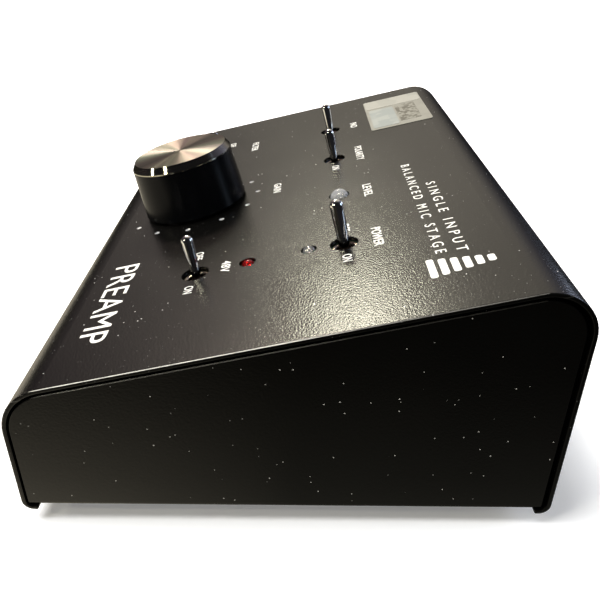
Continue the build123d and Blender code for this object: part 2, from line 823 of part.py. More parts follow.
def on_rear(x, z, h=0.0):
    """Plane parallel to the rear wall, centred at the unit's own (x, z) and h out of its face."""
    return Plane(origin=(x, rear_y + h, z), x_dir=(-1, 0, 0), z_dir=(0, 1, 0))


def xlr_shell(x, recess, depth):
    """Square flange and round barrel, with an open recess in front and a hole for the insert."""
    with BuildPart() as shell:
        with BuildSketch(on_rear(x, xlr_z)):
            RectangleRounded(xlr_width, xlr_height, flange_corner)
        extrude(amount=xlr_flange)
        fillet(shell.faces().sort_by(Axis.Y)[-1].edges(), flange_round)
        with BuildSketch(on_rear(x, xlr_z)):
            Circle(xlr_barrel)
        extrude(amount=barrel_end)
        with BuildSketch(on_rear(x, xlr_z, xlr_flange)):
            Circle(recess)
        extrude(amount=-xlr_flange - depth, mode=Mode.SUBTRACT)
        with BuildSketch(on_rear(x, xlr_z, -depth)):
            Circle(insert_radius)
        extrude(amount=barrel_end + depth, mode=Mode.SUBTRACT)
        with BuildSketch(on_rear(x, xlr_z)):
            with Locations((-xlr_screw_x, xlr_screw_z), (xlr_screw_x, -xlr_screw_z)):
                Circle(m3_clearance)
        extrude(amount=xlr_flange, mode=Mode.SUBTRACT)
    return shell


with BuildPart() as input_xlr_shell:
    add(xlr_shell(input_x, input_recess, input_depth))
    # keyway for the latch, and the notch in the flange that its tab moves in
    with BuildSketch(on_rear(input_x, xlr_z, xlr_flange)):
        with Locations((0, (notch_low + latch_high + latch_gap) / 2)):
            Rectangle(latch_width + 2 * latch_gap, latch_high + latch_gap - notch_low)
    extrude(amount=-xlr_flange - input_depth, mode=Mode.SUBTRACT)
    with BuildSketch(on_rear(input_x, xlr_z, notch_floor)):
        with Locations((0, (notch_low + xlr_height) / 2)):
            Rectangle(latch_tab_width + 2 * notch_gap, xlr_height - notch_low)
    extrude(amount=xlr_flange, mode=Mode.SUBTRACT)
save(input_xlr_shell, "input_xlr_shell")

with BuildPart() as input_xlr_insert:
    with BuildSketch(on_rear(input_x, xlr_z, barrel_end)):
        Circle(insert_radius)
    extrude(amount=-barrel_end + insert_proud)
    fillet(input_xlr_insert.faces().sort_by(Axis.Y)[-1].edges(), insert_round)
    with BuildSketch(rear_wall.offset(barrel_end)):
        with Locations(*xlr_pin_places(input_x)):
            Circle(contact_radius)
    extrude(amount=-barrel_end + 1.0, mode=Mode.SUBTRACT)
save(input_xlr_insert, "input_xlr_insert")

with BuildPart() as input_xlr_contacts:
    contact_back = input_leg_y - rear_y - leg_overlap
    with BuildSketch(rear_wall.offset(contact_back)):
        with Locations(*xlr_pin_places(input_x)):
            Circle(contact_radius)
    extrude(amount=-contact_back - contact_recess)
    with BuildSketch(rear_wall.offset(-contact_bore_depth)):
        with Locations(*xlr_pin_places(input_x)):
            Circle(contact_bore)
    extrude(amount=contact_bore_depth, mode=Mode.SUBTRACT)
    for px, pz in xlr_pin_places(input_x):
        with BuildSketch(Plane(origin=(-px, input_leg_y, main_z - leg_end))):
            Circle(xlr_leg_radius)
        extrude(amount=pz - main_z + leg_end)
save(input_xlr_contacts, "input_xlr_contacts")

with BuildPart() as input_xlr_latch:
    with BuildSketch(on_rear(input_x, xlr_z, -latch_reach)):
        with Locations((0, (latch_low + latch_high) / 2)):
            Rectangle(latch_width, latch_high - latch_low)
    extrude(amount=latch_reach + latch_proud)
    with BuildSketch(on_rear(input_x, xlr_z, latch_proud - latch_sheet)):
        with Locations((0, (latch_low + latch_tab_top) / 2)):
            RectangleRounded(latch_tab_width, latch_tab_top - latch_low, latch_tab_corner)
    extrude(amount=latch_sheet)
    # hook that holds a plugged-in connector
    with BuildSketch(on_rear(input_x, xlr_z, key_back)):
        with Locations((0, (key_low + latch_low + key_bury) / 2)):
            Rectangle(key_width, latch_low + key_bury - key_low)
    extrude(amount=key_length)
save(input_xlr_latch, "input_xlr_latch")

save(xlr_shell(output_x, output_recess, output_depth), "output_xlr_shell")

with BuildPart() as output_xlr_insert:
    with BuildSketch(on_rear(output_x, xlr_z, barrel_end)):
        Circle(insert_radius)
    extrude(amount=-barrel_end - output_depth)
    with BuildSketch(rear_wall.offset(barrel_end)):
        with Locations(*xlr_pin_places(output_x)):
            Circle(xlr_pin_radius)
    extrude(amount=-barrel_end - output_depth, mode=Mode.SUBTRACT)
save(output_xlr_insert, "output_xlr_insert")

with BuildPart() as output_xlr_pins:
    pin_back = output_leg_y - rear_y - leg_overlap
    with BuildSketch(rear_wall.offset(pin_back)):
        with Locations(*xlr_pin_places(output_x)):
            Circle(xlr_pin_radius)
    extrude(amount=-pin_back - pin_recess)
    fillet(output_xlr_pins.faces().group_by(Axis.Y)[-1].edges(), pin_round)
    for px, pz in xlr_pin_places(output_x):
        with BuildSketch(Plane(origin=(-px, output_leg_y, main_z - leg_end))):
            Circle(xlr_leg_radius)
        extrude(amount=pz - main_z + leg_end)
save(output_xlr_pins, "output_xlr_pins")

with BuildPart() as power_jack_body:
    with BuildSketch(on_rear(jack_x, main_top + jack_height / 2, -cover_sheet)):
        Rectangle(jack_width, jack_height)
    extrude(amount=-jack_depth)
    with BuildSketch(on_rear(jack_x, jack_z, -cover_sheet)):
        Circle(jack_hole - jack_gap)
    extrude(amount=cover_sheet + jack_rim_proud)
    with BuildSketch(on_rear(jack_x, jack_z, jack_rim_proud)):
        Circle(jack_mouth)
    extrude(amount=-jack_mouth_depth, mode=Mode.SUBTRACT)
    with BuildSketch(on_rear(jack_x, jack_z, -jack_depth - cover_sheet)):
        Circle(jack_pin_radius)
    extrude(amount=jack_depth, mode=Mode.SUBTRACT)
save(power_jack_body, "power_jack_body")

with BuildPart() as power_jack_pin:
    with BuildSketch(on_rear(jack_x, jack_z, -jack_depth - cover_sheet - jack_pin_tail)):
        Circle(jack_pin_radius)
    extrude(amount=jack_depth - jack_pin_tail)
    fillet(power_jack_pin.faces().sort_by(Axis.Y)[-1].edges(), jack_pin_round)
save(power_jack_pin, "power_jack_pin")

save_group(
    [
        pan_screw((-px, rear_y + xlr_flange, pz), (0, -1, 0), long_screw_length)
        for px, pz in xlr_screw_places
    ],
    "connector_screws",
)
save_group(
    [
        hex_nut(Plane(origin=(x, case_y + y, tray_top), z_dir=(0, 0, 1)))
        for x, y in case_screw_places
    ]
    + [
        hex_nut(Plane(origin=(-px, rear_y - cover_sheet, pz), z_dir=(0, -1, 0)))
        for px, pz in xlr_screw_places
    ],
    "m3_nuts",
)
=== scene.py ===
import json
import math

import bmesh
import bpy
from mathutils import Matrix, Vector


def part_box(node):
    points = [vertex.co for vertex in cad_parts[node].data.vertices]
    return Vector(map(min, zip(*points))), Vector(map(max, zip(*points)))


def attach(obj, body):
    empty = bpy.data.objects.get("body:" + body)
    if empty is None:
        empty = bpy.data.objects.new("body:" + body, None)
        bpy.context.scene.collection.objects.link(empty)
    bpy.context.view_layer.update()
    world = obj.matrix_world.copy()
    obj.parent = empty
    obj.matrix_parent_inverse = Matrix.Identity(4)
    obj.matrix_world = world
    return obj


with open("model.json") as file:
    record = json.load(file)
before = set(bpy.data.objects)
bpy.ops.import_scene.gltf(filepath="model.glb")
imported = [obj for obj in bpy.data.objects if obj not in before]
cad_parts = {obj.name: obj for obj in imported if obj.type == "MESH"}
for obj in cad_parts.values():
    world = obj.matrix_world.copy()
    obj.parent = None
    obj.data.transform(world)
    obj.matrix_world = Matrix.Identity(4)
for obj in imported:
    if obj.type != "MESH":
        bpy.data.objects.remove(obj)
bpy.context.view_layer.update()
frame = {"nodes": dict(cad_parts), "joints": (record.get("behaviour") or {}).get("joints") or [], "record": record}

# Looks of a desktop microphone preamp. Metres, in the row frame: +X is the unit's right,
# +Y its rear, +Z up. Everything on the sloping panel is placed in the panel's own frame:
# x to the right, v up the slope from the panel's middle, h out of its face, in millimetres.

MM = 0.001

# ---------------------------------------------------------------- sizes and places

COVER_SHEET, END_GROOVE = 0.9, 0.75
KNOB_X, KNOB_V = -1.4, -28.0
GAIN_JOINT_HEIGHT = 8.0
CAP_HEIGHT, CAP_FACE_RADIUS = 16.3, 12.75
POINTER_DEPTH = 0.45
DOT_RADIUS, DOT_DEPTH, DOT_CIRCLE = 0.7, 0.35, 18.1
DOTS, FIRST_DOT_ANGLE, DOT_ANGLE_STEP = 11, -60, 30
INK_THICKNESS, INK_SINK = 0.05, 0.01
LABEL_THICKNESS = 0.15

# lamp: x, v, height of its top, and radius
LAMPS = {"phantom": (43.8, -9.7, 0.5, 1.5), "power": (43.8, 4.5, 0.8, 1.5), "level": (15.0, 12.9, 1.6, 2.5)}

joints = {joint["name"]: joint for joint in frame["joints"]}
cover_low, cover_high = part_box("top_cover")
case_middle = (cover_low + cover_high) / 2
case_half = (cover_high.x - cover_low.x) / 2 / MM

across = Vector((1, 0, 0))
up_slope = Vector(joints["power_tilt"]["axis"]).normalized()
normal = -Vector(joints["gain_turn"]["axis"]).normalized()
knob_foot = Vector(joints["gain_turn"]["pos_m"]) - normal * GAIN_JOINT_HEIGHT * MM
knob_top = knob_foot + normal * CAP_HEIGHT * MM
panel_middle = knob_foot - across * KNOB_X * MM - up_slope * KNOB_V * MM


def frame_matrix(origin, x_axis, y_axis):
    """Matrix that takes (x, y, out) to the row frame."""
    z_axis = x_axis.cross(y_axis)
    turn = Matrix((x_axis, y_axis, z_axis)).transposed().to_4x4()
    return Matrix.Translation(origin) @ turn


panel_frame = frame_matrix(panel_middle, across, up_slope)


# ---------------------------------------------------------------- shader helpers

def new_material(name):
    """Empty node material: returns it, its node tree and its Principled shader."""
    material = bpy.data.materials.new(name)
    material.use_nodes = True
    tree = material.node_tree
    return material, tree, tree.nodes["Principled BSDF"]


def node(tree, kind, **settings):
    """New node with its settings, such as an operation, and its inputs' values."""
    made = tree.nodes.new(kind)
    for key, value in settings.items():
        if hasattr(made, key):
            setattr(made, key, value)
        else:
            made.inputs[key.replace("_", " ")].default_value = value
    return made


def object_coords(tree):
    """The shaded point in its object's own metres."""
    return node(tree, "ShaderNodeTexCoord").outputs["Object"]


def noise(tree, coords, scale, detail=2.0):
    """Noise texture's value at that many features a metre."""
    made = node(tree, "ShaderNodeTexNoise", Scale=scale, Detail=detail)
    tree.links.new(coords, made.inputs["Vector"])
    return made.outputs["Fac"]


def ramp(tree, value, stops):
    """Colour ramp from (position, grey or colour) stops."""
    made = tree.nodes.new("ShaderNodeValToRGB")
    elements = made.color_ramp.elements
    while len(elements) < len(stops):
        elements.new(0.5)
    for element, (position, colour) in zip(elements, stops):
        element.position = position
        rgb = (colour,) * 3 if isinstance(colour, (int, float)) else colour
        element.color = (*rgb, 1.0)
    tree.links.new(value, made.inputs["Fac"])
    return made.outputs["Color"]


def ramp_along(tree, distance, stops):
    """Colour ramp over a distance in metres, from (millimetres, grey or colour) stops."""
    start, reach = stops[0][0], stops[-1][0] - stops[0][0]
    share = math_node(tree, "MULTIPLY_ADD", distance, 1 / (reach * MM), -start / reach)
    return ramp(tree, share, [((place - start) / reach, colour) for place, colour in stops])


def math_node(tree, operation, *values):
    """Math node of up to three values, each a number or a socket."""
    made = tree.nodes.new("ShaderNodeMath")
    made.operation = operation
    for socket, value in zip(made.inputs, values):
        if isinstance(value, (int, float)):
            socket.default_value = value
        else:
            tree.links.new(value, socket)
    return made.outputs[0]


def product(tree, value, *others):
    """A value times all the others, each a number or a socket."""
    for other in others:
        value = math_node(tree, "MULTIPLY", value, other)
    return value


def past(tree, distance, limit):
    """1 where a distance in metres is over a limit in millimetres."""
    return math_node(tree, "GREATER_THAN", distance, limit * MM)


def between(tree, distance, low, high):
    """1 where a distance in metres is between two limits in millimetres."""
    below = math_node(tree, "LESS_THAN", distance, high * MM)
    return product(tree, past(tree, distance, low), below)


def mix_colour(tree, factor, a, b):
    """Colour a where the factor is 0 and b where it is 1, each a grey, a colour or a socket."""
    made = tree.nodes.new("ShaderNodeMix")
    made.data_type = "RGBA"
    for key, value in (("Factor", factor), ("A", a), ("B", b)):
        socket = next(s for s in made.inputs if s.name == key and s.enabled)
        if hasattr(value, "links"):
            tree.links.new(value, socket)
        elif isinstance(value, (int, float)):
            socket.default_value = (value, value, value, 1.0)
        else:
            socket.default_value = (*value, 1.0)
    return next(s for s in made.outputs if s.enabled)


def bump(tree, height, depth):
    """Bump from a height value, as deep as said in millimetres."""
    made = node(tree, "ShaderNodeBump", Strength=1.0, Distance=depth * MM)
    tree.links.new(height, made.inputs["Height"])
    return made.outputs["Normal"]


def offset_from(tree, coords, origin):
    """Vector from origin to the shaded point."""
    made = node(tree, "ShaderNodeVectorMath", operation="SUBTRACT")
    tree.links.new(coords, made.inputs[0])
    made.inputs[1].default_value = origin
    return made.outputs["Vector"]


def along_axis(tree, coords, origin, direction):
    """Distance of the shaded point from origin along a direction, in metres."""
    made = node(tree, "ShaderNodeVectorMath", operation="DOT_PRODUCT")
    tree.links.new(offset_from(tree, coords, origin), made.inputs[0])
    made.inputs[1].default_value = direction
    return made.outputs["Value"]


def vector_length(tree, vector):
    """Length of a vector socket."""
    made = node(tree, "ShaderNodeVectorMath", operation="LENGTH")
    tree.links.new(vector, made.inputs[0])
    return made.outputs["Value"]


def vector_direction(tree, vector):
    """Unit vector of a vector socket."""
    made = node(tree, "ShaderNodeVectorMath", operation="NORMALIZE")
    tree.links.new(vector, made.inputs[0])
    return made.outputs["Vector"]


def cell_value(tree, voronoi):
    """Random number of each of a Voronoi texture's cells."""
    split = tree.nodes.new("ShaderNodeSeparateColor")
    tree.links.new(voronoi.outputs["Color"], split.inputs["Color"])
    return split.outputs["Red"]


def specks(tree, coords, cells, size, share):
    """1 in small round specks: cells a metre, size in cells, share of the cells that hold one."""
    voronoi = node(tree, "ShaderNodeTexVoronoi", Scale=cells, Randomness=1.0)
    tree.links.new(coords, voronoi.inputs["Vector"])
    inside = math_node(tree, "LESS_THAN", voronoi.outputs["Distance"], size)
    chosen = math_node(tree, "LESS_THAN", cell_value(tree, voronoi), share)
    return product(tree, inside, chosen)


def seen_or_reflected(tree, seen, reflected):
    """Shader that is one to the camera and the other to whatever reflects it."""
    path = tree.nodes.new("ShaderNodeLightPath")
    made = tree.nodes.new("ShaderNodeMixShader")
    tree.links.new(path.outputs["Is Camera Ray"], made.inputs["Fac"])
    tree.links.new(reflected, made.inputs[1])
    tree.links.new(seen, made.inputs[2])
    return made.outputs["Shader"]


# ---------------------------------------------------------------- materials

def painted_edge_highlight(tree, coords):
    """Painted highlight: light grey lines along the cover's and the end panels' sloping top edges, brightest in
    front.
    """
    arris, inner_arris, inner_share = 0.17, 0.42, 0.22
    end_panel_top = -(COVER_SHEET + END_GROOVE)
    sideways = math_node(tree, "ABSOLUTE", along_axis(tree, coords, Vector((0, 0, 0)), across))
    height = along_axis(tree, coords, panel_middle, normal)
    up = along_axis(tree, coords, panel_middle, up_slope)
    cover_edge = product(tree, past(tree, sideways, case_half - arris), between(tree, height, -0.15, 0.05))
    panel_edge = product(tree, past(tree, sideways, case_half - inner_arris),
                         between(tree, height, end_panel_top - 0.09, end_panel_top + 0.15))
    highlight_lines = math_node(tree, "MAXIMUM", cover_edge, product(tree, panel_edge, inner_share))
    fade = ramp_along(tree, up, [(-55.6, 0.35), (-42.2, 1.0), (0.0, 0.9), (13.3, 0.30), (50.0, 0.12)])
    patchy = ramp(tree, noise(tree, coords, 500.0, 3.0), [(0.25, 0.55), (0.55, 1.0)])
    return product(tree, highlight_lines, fade, patchy)


def powder_coat():
    """Fine-grained satin black powder coat with dust, lint and painted highlight lines along its top edges."""
    dust_grey, edge_highlight_grey = (0.75, 0.74, 0.70), (0.72, 0.70, 0.64)
    material, tree, shader = new_material("powder_coat")
    coords = object_coords(tree)
    grain = noise(tree, coords, 2300.0, 1.0)
    cloud = noise(tree, coords, 22.0, 3.0)
    black = ramp(tree, cloud, [(0.3, (0.0020, 0.0019, 0.0017)), (0.7, (0.0040, 0.0038, 0.0034))])
    settled = ramp(tree, noise(tree, coords, 45.0), [(0.40, 0.25), (0.58, 1.0)])
    dust = specks(tree, coords, 430.0, 0.062, 0.5)
    lint = product(tree, specks(tree, coords, 1100.0, 0.10, 0.3), 0.25)
    dirt = product(tree, math_node(tree, "MAXIMUM", dust, lint), settled)
    dusty = mix_colour(tree, dirt, black, dust_grey)
    # painted highlight: the sloping top edges are coloured light grey
    colour = mix_colour(tree, painted_edge_highlight(tree, coords), dusty, edge_highlight_grey)
    tree.links.new(colour, shader.inputs["Base Color"])
    tree.links.new(ramp(tree, cloud, [(0.25, 0.22), (0.75, 0.27)]), shader.inputs["Roughness"])
    tree.links.new(bump(tree, grain, 0.045), shader.inputs["Normal"])
    return material


def bare_metal():
    """Metal cut by a drill, with painted shade at the bottom of the dimples."""
    material, tree, shader = new_material("bare_metal")
    coords = object_coords(tree)
    streaks = noise(tree, coords, 6000.0)
    bright = ramp(tree, streaks, [(0.3, 0.78), (0.7, 0.92)])
    depth = along_axis(tree, coords, panel_middle, -normal)
    # painted shade: the deepest part of each dimple is coloured near black
    bottom = ramp_along(tree, depth, [(0.87 * DOT_DEPTH, 0.0), (0.94 * DOT_DEPTH, 1.0)])
    tree.links.new(mix_colour(tree, bottom, bright, 0.03), shader.inputs["Base Color"])
    tree.links.new(ramp(tree, streaks, [(0.3, 0.30), (0.7, 0.42)]), shader.inputs["Roughness"])
    shader.inputs["Metallic"].default_value = 0.6
    return material


def ink():
    """Screen-printed white ink, slightly uneven."""
    material, tree, shader = new_material("white_ink")
    patch = noise(tree, object_coords(tree), 1400.0, 3.0)
    colour = ramp(tree, patch, [(0.25, (0.62, 0.61, 0.57)), (0.6, (0.86, 0.85, 0.81))])
    tree.links.new(colour, shader.inputs["Base Color"])
    tree.links.new(bump(tree, patch, 0.02), shader.inputs["Normal"])
    shader.inputs["Roughness"].default_value = 0.45
    return material


def plain(name, colour, roughness, metallic=0.0, grain=1500.0, depth=0.01, spread=0.12):
    """Moulded, turned or plated surface: colour and roughness vary a little, with fine bump."""
    material, tree, shader = new_material(name)
    patch = noise(tree, object_coords(tree), grain, 3.0)
    dark = tuple(c * (1 - spread) for c in colour)
    light = tuple(min(c * (1 + spread), 1.0) for c in colour)
    tree.links.new(ramp(tree, patch, [(0.3, dark), (0.7, light)]), shader.inputs["Base Color"])
    low, high = roughness * (1 - spread), roughness * (1 + spread)
    tree.links.new(ramp(tree, patch, [(0.3, low), (0.7, high)]), shader.inputs["Roughness"])
    tree.links.new(bump(tree, patch, depth), shader.inputs["Normal"])
    shader.inputs["Metallic"].default_value = metallic
    return material


def chrome():
    """Polished chrome with fingerprints, and painted shade down inside the bushing."""
    material, tree, shader = new_material("chrome")
    coords = object_coords(tree)
    smear = noise(tree, coords, 300.0, 4.0)
    bright = ramp(tree, smear, [(0.3, 0.78), (0.7, 0.86)])
    height = along_axis(tree, coords, panel_middle, normal)
    # painted shade: the lever is coloured near black where it sinks into the bushing
    above_painted_shade = ramp_along(tree, height, [(-0.4, 0.0), (1.2, 1.0)])
    colour = mix_colour(tree, above_painted_shade, (0.05, 0.045, 0.04), bright)
    tree.links.new(colour, shader.inputs["Base Color"])
    tree.links.new(ramp(tree, smear, [(0.35, 0.05), (0.7, 0.13)]), shader.inputs["Roughness"])
    shader.inputs["Metallic"].default_value = 1.0
    return material


def label_film():
    """Laminated white label, greyed a little and wavy."""
    material, tree, shader = new_material("label_film")
    patch = noise(tree, object_coords(tree), 160.0, 3.0)
    colour = ramp(tree, patch, [(0.3, (0.19, 0.186, 0.16)), (0.7, (0.24, 0.235, 0.20))])
    tree.links.new(colour, shader.inputs["Base Color"])
    tree.links.new(bump(tree, patch, 0.06), shader.inputs["Normal"])
    shader.inputs["Roughness"].default_value = 0.30
    return material


def printed_blocks(name, dark, light, cells):
    """Blocky grey print on the label, with no readable content; cells a metre."""
    material, tree, shader = new_material(name)
    blocks = node(tree, "ShaderNodeTexVoronoi", Scale=cells, Randomness=0.6)
    tree.links.new(object_coords(tree), blocks.inputs["Vector"])
    colour = ramp(tree, cell_value(tree, blocks), [(0.3, dark), (0.7, light)])
    tree.links.new(colour, shader.inputs["Base Color"])
    shader.inputs["Roughness"].default_value = 0.35
    return material


def spun_cap():
    """Aluminium spun on a lathe: highlights fan out from the middle, over painted sheen in sectors of olive, peach
    and pink; polished bevel, pointer groove coloured bright cream.
    """
    skin, pointer_floor = 0.05, POINTER_DEPTH + 0.15
    pointer_cream, bevel_metal, bevel_roughness = (0.95, 0.86, 0.78), (0.50, 0.48, 0.40), 0.12
    material, tree, shader = new_material("spun_aluminium")
    coords = object_coords(tree)
    offset = offset_from(tree, coords, knob_top)
    radius = vector_length(tree, offset)
    ring_place = tree.nodes.new("ShaderNodeCombineXYZ")
    tree.links.new(radius, ring_place.inputs["X"])
    rings = noise(tree, ring_place.outputs["Vector"], 9000.0, 3.0)
    spokes = noise(tree, vector_direction(tree, offset), 2.3)

    height = along_axis(tree, coords, knob_foot, normal)
    on_face = past(tree, height, CAP_HEIGHT - skin)
    in_pointer = product(
        tree, between(tree, height, CAP_HEIGHT - pointer_floor, CAP_HEIGHT - skin),
        math_node(tree, "LESS_THAN", radius, CAP_FACE_RADIUS * MM),
    )
    inside_bevel = math_node(tree, "MAXIMUM", on_face, in_pointer)

    # painted sheen: colour sectors around the middle stand in for the cap's fanned highlights
    sectors = ramp(tree, spokes, [
        (0.35, (0.30, 0.31, 0.26)), (0.5, (0.44, 0.40, 0.35)), (0.65, (0.37, 0.30, 0.30)),
    ])
    turning_marks = ramp(tree, rings, [(0.3, 0.86), (0.7, 1.0)])
    sheen_and_turning_marks = tree.nodes.new("ShaderNodeVectorMath")
    sheen_and_turning_marks.operation = "MULTIPLY"
    tree.links.new(sectors, sheen_and_turning_marks.inputs[0])
    tree.links.new(turning_marks, sheen_and_turning_marks.inputs[1])
    # the pointer groove is coloured bright cream and is not metallic
    face = mix_colour(tree, in_pointer, sheen_and_turning_marks.outputs["Vector"], pointer_cream)
    colour = mix_colour(tree, inside_bevel, bevel_metal, face)
    tree.links.new(colour, shader.inputs["Base Color"])
    brushed = ramp(tree, rings, [(0.3, 0.40), (0.7, 0.50)])
    roughness = mix_colour(tree, inside_bevel, bevel_roughness, brushed)
    tree.links.new(roughness, shader.inputs["Roughness"])
    tree.links.new(math_node(tree, "SUBTRACT", 1.0, in_pointer), shader.inputs["Metallic"])

    shader.inputs["Anisotropic"].default_value = 0.97
    outward = tree.nodes.new("ShaderNodeVectorTransform")
    outward.vector_type = "VECTOR"
    outward.convert_from, outward.convert_to = "OBJECT", "WORLD"
    tree.links.new(offset, outward.inputs["Vector"])
    tree.links.new(vector_direction(tree, outward.outputs["Vector"]), shader.inputs["Tangent"])
    return material


def epoxy(name, colour, roughness=0.06, clear=0.92):
    """Clear or tinted lamp epoxy, slightly cloudy and uneven."""
    material, tree, shader = new_material(name)
    cloud = noise(tree, object_coords(tree), 1200.0)
    pale = tuple(min(c * 1.1, 1.0) for c in colour)
    tree.links.new(ramp(tree, cloud, [(0.3, colour), (0.7, pale)]), shader.inputs["Base Color"])
    tree.links.new(bump(tree, cloud, 0.004), shader.inputs["Normal"])
    shader.inputs["Roughness"].default_value = roughness
    shader.inputs["Transmission Weight"].default_value = clear
    shader.inputs["IOR"].default_value = 1.5
    return material


def knob_plastic():
    """Dense black satin plastic with little shine."""
    material = plain("knob_satin", (0.002, 0.0022, 0.0027), 0.24, grain=2200.0, depth=0.002)
    material.node_tree.nodes["Principled BSDF"].inputs["Specular IOR Level"].default_value = 0.12
    return material


white_ink = ink()
dimple_metal = bare_metal()
reflector_metal = plain("lamp_reflector", (0.75, 0.74, 0.70), 0.2, 1.0)
milky_epoxy = epoxy("diffused_epoxy", (0.74, 0.75, 0.76), 0.10, 0.72)
header_print = printed_blocks("header_print", (0.25, 0.25, 0.22), (0.29, 0.285, 0.25), 200)
pale_print = printed_blocks("pale_print", (0.21, 0.23, 0.22), (0.26, 0.275, 0.255), 260)
grid_print = printed_blocks("grid_print", (0.07, 0.065, 0.05), (0.20, 0.195, 0.165), 1100)

finishes = {
    "case_black": powder_coat(),
    "rubber": plain("rubber", (0.018, 0.018, 0.018), 0.8, grain=3000.0, depth=0.04),
    "screw_steel": plain("zinc_steel", (0.55, 0.55, 0.56), 0.3, 1.0),
    "connector_screw_black": plain("black_oxide", (0.03, 0.03, 0.032), 0.35, 0.8),
    "board_green": plain("solder_mask", (0.01, 0.10, 0.035), 0.35, grain=700.0),
    "brass": plain("turned_brass", (0.75, 0.56, 0.26), 0.28, 1.0),
    "knob_black": knob_plastic(),
    "knob_cap": spun_cap(),
    "shaft_steel": plain("turned_steel", (0.6, 0.6, 0.6), 0.25, 1.0),
    "pot_case": plain("pressed_steel", (0.48, 0.47, 0.45), 0.38, 1.0),
    "tinned_copper": plain("tinned_copper", (0.7, 0.7, 0.68), 0.3, 1.0),
    "lever_chrome": chrome(),
    "bushing_nickel": plain("nickel", (0.72, 0.66, 0.56), 0.22, 1.0, grain=2500.0),
    "switch_plastic": plain("switch_plastic", (0.03, 0.09, 0.26), 0.4),
    "led_red": epoxy("red_epoxy", (0.75, 0.015, 0.012)),
    "led_clear": epoxy("clear_epoxy", (0.93, 0.94, 0.95)),
    "white_print": label_film(),
    "connector_black": plain("connector_coat", (0.014, 0.014, 0.015), 0.4, depth=0.02),
    "insert_plastic": plain("moulded_nylon", (0.014, 0.014, 0.014), 0.5, grain=2500.0),
    "contact_gold": plain("gold_plate", (0.85, 0.64, 0.28), 0.18, 1.0),
    "latch_metal": plain("satin_nickel", (0.5, 0.49, 0.47), 0.3, 1.0),
    "capacitor_sleeve": plain("shrink_sleeve", (0.02, 0.03, 0.08), 0.3),
    "relay_case": plain("relay_case", (0.7, 0.67, 0.58), 0.4),
    "sink_aluminium": plain("black_anodised", (0.03, 0.03, 0.03), 0.4, 0.6),
    "ribbon_grey": plain("ribbon_vinyl", (0.42, 0.42, 0.43), 0.5),
}

for part in frame["record"]["subparts"]:
    mesh = frame["nodes"][part["node"]].data
    mesh.materials.clear()
    mesh.materials.append(finishes[part["material_slot"]])
frame["nodes"]["level_led"].data.materials[0] = milky_epoxy


# ---------------------------------------------------------------- piece helpers

def new_object(name, data):
    """Object with its data, linked to the scene."""
    made = bpy.data.objects.new(name, data)
    bpy.context.scene.collection.objects.link(made)
    return made


def add_piece(name, mesh, material):
    """A finished mesh as a piece that stays with the case."""
    mesh.materials.clear()
    mesh.materials.append(material)
    piece = new_object(name, mesh)
    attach(piece, "root")


def mesh_from(name, build, *sizes):
    """Mesh made by a function that fills a bmesh, given its sizes."""
    mesh = bpy.data.meshes.new(name)
    made = bmesh.new()
    build(made, *sizes)
    bmesh.ops.remove_doubles(made, verts=made.verts, dist=1e-8)
    bmesh.ops.recalc_face_normals(made, faces=made.faces)
    made.to_mesh(mesh)
    made.free()
    return mesh


def rounded_bar(made, x, v, width, height, low, high, corner, steps=6):
    """Flat bar with round corners on the panel, from height low to high, in millimetres."""
    corner = min(corner, width / 2, height / 2)
    outline = []
    for side, end, start in ((1, 1, 0), (-1, 1, 90), (-1, -1, 180), (1, -1, 270)):
        centre_x, centre_v = x + side * (width / 2 - corner), v + end * (height / 2 - corner)
        for step in range(steps + 1):
            angle = math.radians(start + 90 * step / steps)
            outline.append((centre_x + corner * math.cos(angle), centre_v + corner * math.sin(angle)))
    bottom, top = (
        [made.verts.new(panel_frame @ Vector((px * MM, pv * MM, h * MM))) for px, pv in outline]
        for h in (low, high)
    )
    made.faces.new(bottom[::-1])
    made.faces.new(top)
    for k in range(len(outline)):
        n = (k + 1) % len(outline)
        made.faces.new((bottom[k], bottom[n], top[n], top[k]))


def turned(made, profile, x, v, segments=24):
    """Closed body turned from (radius, height) points about the panel's normal at (x, v)."""
    rings = []
    for radius, height in profile:
        ring = []
        for k in range(segments):
            angle = 2 * math.pi * k / segments
            spot = Vector((x + radius * math.cos(angle), v + radius * math.sin(angle), height))
            ring.append(made.verts.new(panel_frame @ (spot * MM)))
        rings.append(ring)
    for a, b in zip(rings, rings[1:] + rings[:1]):
        for k in range(segments):
            n = (k + 1) % segments
            made.faces.new((a[k], a[n], b[n], b[k]))


# ---------------------------------------------------------------- printed legends

def lettering(name, words, middle, width, height, weight=0.01, spacing=1.05):
    """Printed words centred at (x, v), as wide and as high as said, in millimetres."""
    curve = bpy.data.curves.new(name, "FONT")
    curve.body = words
    curve.offset = weight
    curve.resolution_u = 4
    curve.extrude = 0.02
    curve.space_character = spacing
    text = new_object(name, curve)
    bpy.context.view_layer.update()
    mesh = bpy.data.meshes.new_from_object(text.evaluated_get(bpy.context.evaluated_depsgraph_get()))
    bpy.data.objects.remove(text)
    low = Vector([min(vertex.co[i] for vertex in mesh.vertices) for i in range(3)])
    high = Vector([max(vertex.co[i] for vertex in mesh.vertices) for i in range(3)])
    size = high - low
    centred = Matrix.Translation(-(low + high) / 2)
    fit = Matrix.Diagonal((width / size.x, height / size.y, INK_THICKNESS / size.z, 1.0))
    place = Matrix.Translation(Vector((*middle, INK_THICKNESS / 2 - INK_SINK)) * MM)
    mesh.transform(panel_frame @ place @ Matrix.Scale(MM, 4) @ fit @ centred)
    mesh.name = name
    add_piece(name, mesh, white_ink)


def toggle_states(toggle, on_middle, off_middle):
    """ON and OFF at the sides of a toggle."""
    lettering(f"legend_{toggle}_on", "ON", on_middle, 3.3, 2.1)
    lettering(f"legend_{toggle}_off", "OFF", off_middle, 4.2, 2.1)


def control_name(name, words, middle, width):
    """What a control or lamp is called, beside it."""
    lettering(f"legend_{name}", words, middle, width, 2.2)


